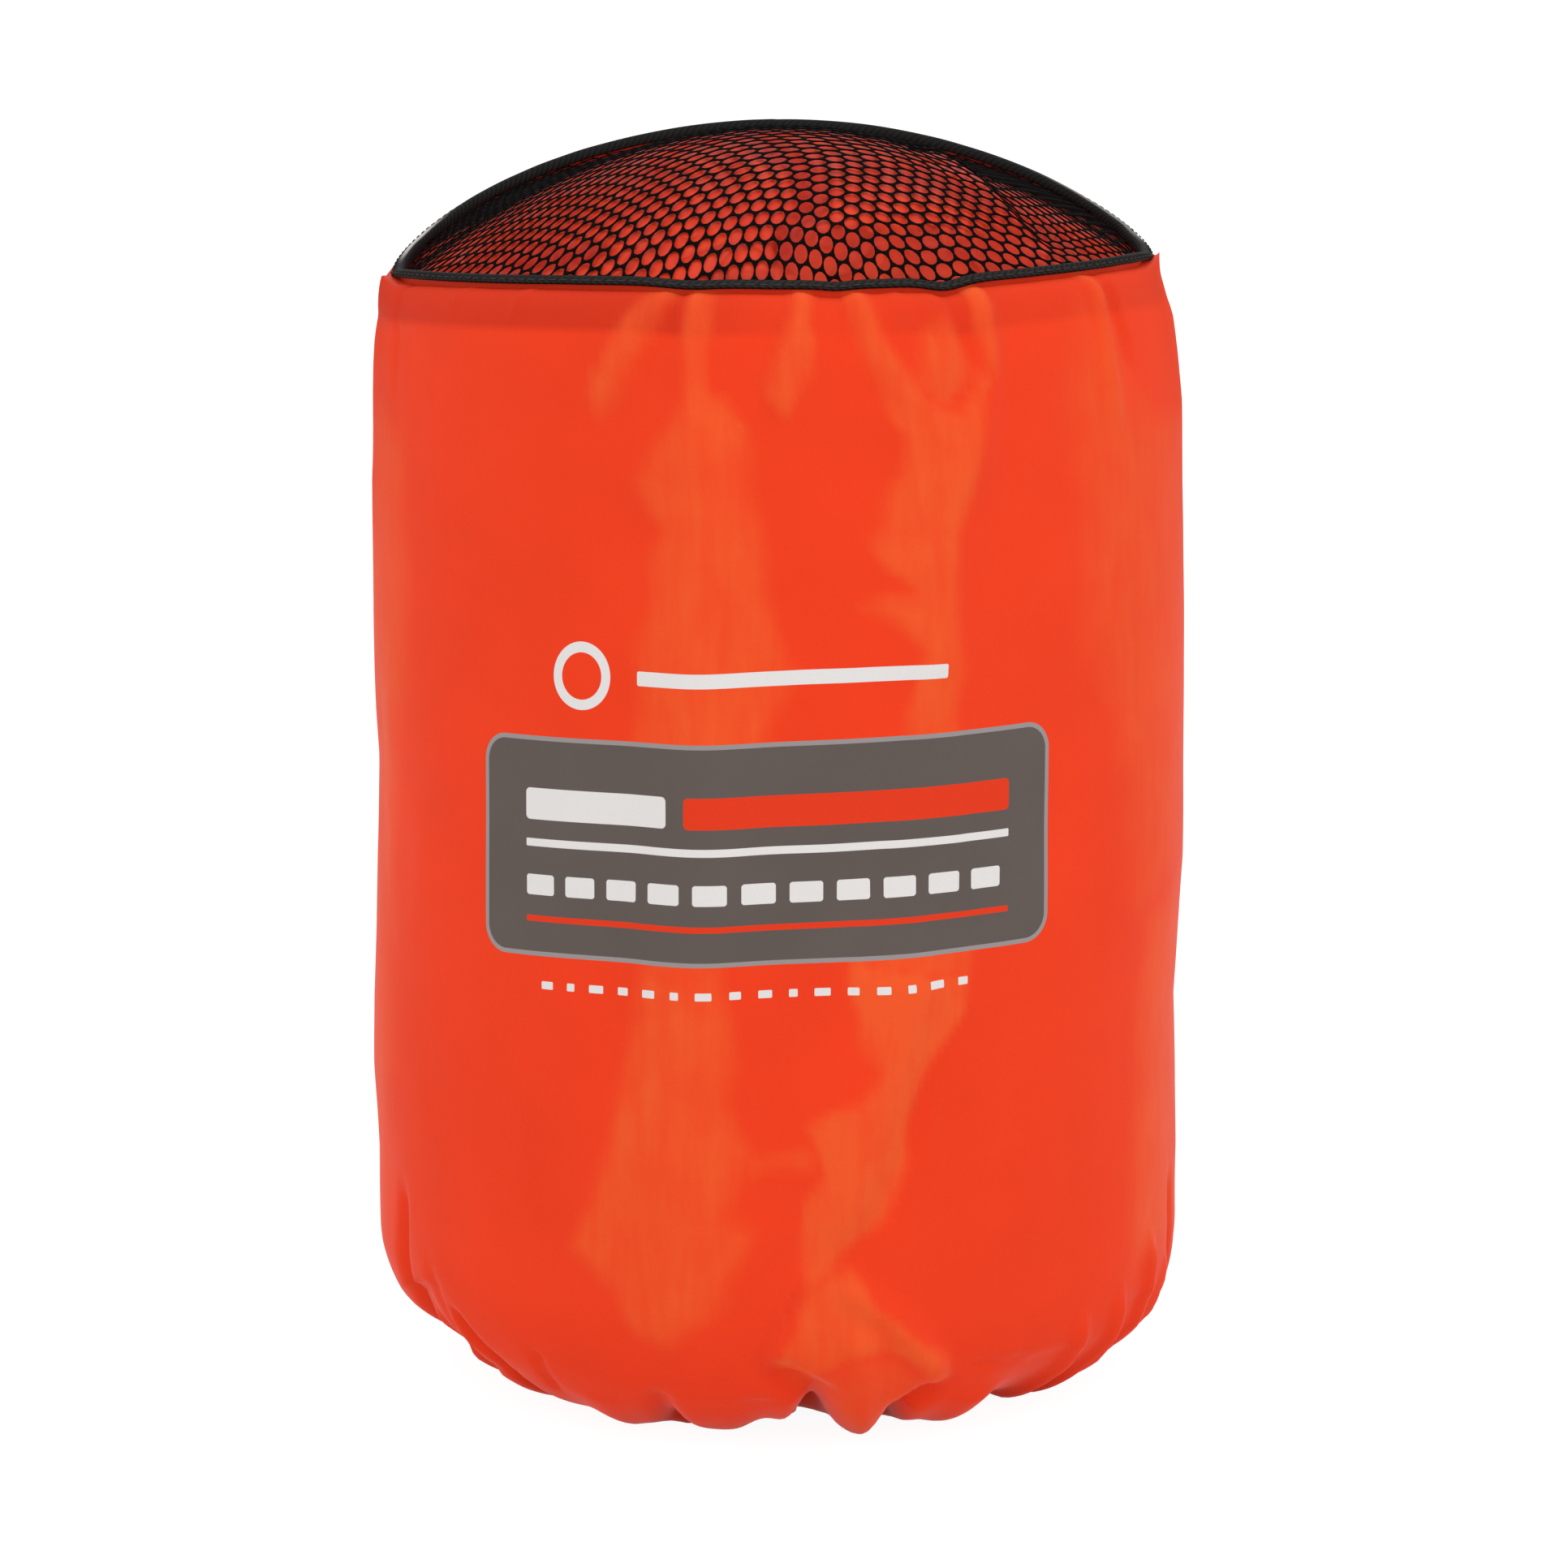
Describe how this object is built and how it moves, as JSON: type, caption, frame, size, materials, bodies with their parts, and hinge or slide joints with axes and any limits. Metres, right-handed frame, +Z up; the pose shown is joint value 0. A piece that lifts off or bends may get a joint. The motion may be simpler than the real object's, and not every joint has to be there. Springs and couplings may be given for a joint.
{
  "type": "packed bothy bag",
  "caption": "Group storm shelter rolled up inside a round drawstring sack with a net end, standing on its gathered mouth; the sack pulls up off the shelter.",
  "frame": {"origin": "middle of the base, on the surface that the sack stands on", "axes": "+Z up towards the net end, -Y towards the printed front, +X to the front's right"},
  "size_m": [0.1356, 0.1356, 0.2123],
  "materials": {
    "sack_cloth": "coated nylon, fine plain weave, soft sheen",
    "net": "knitted polyester net with round holes",
    "tape": "ribbed binding tape",
    "cord": "braided cord",
    "canopy_cloth": "coated nylon, creased from packing",
    "seat_cloth": "heavier coated nylon",
    "window_film": "clear flexible film",
    "reflective": "silver reflective tape"
  },
  "bodies": {
    "shelter": {"canopy": "canopy_cloth", "end_panel_left": "canopy_cloth", "end_panel_right": "canopy_cloth", "seat_panel_left": "seat_cloth", "seat_panel_right": "seat_cloth", "window_left": "window_film", "window_right": "window_film", "vent_sleeve_left": "canopy_cloth", "vent_sleeve_right": "canopy_cloth", "pole_patch_left": "seat_cloth", "pole_patch_right": "seat_cloth", "reflective_strip_left": "reflective", "reflective_strip_right": "reflective"},
    "sack": {"sack_tube": "sack_cloth", "mesh_end": "net", "rim_binding": "tape", "back_seam": "sack_cloth", "mouth_gathers": "sack_cloth", "hem_channel": "sack_cloth", "drawcord": "cord"}
  },
  "joints": [
    {"name": "sack_lift", "type": "slide", "parent": "shelter", "child": "sack", "axis": [0, 0, 1], "range_m": [0, 0.22], "deforming": ["mouth_gathers", "hem_channel", "drawcord"]}
  ]
}
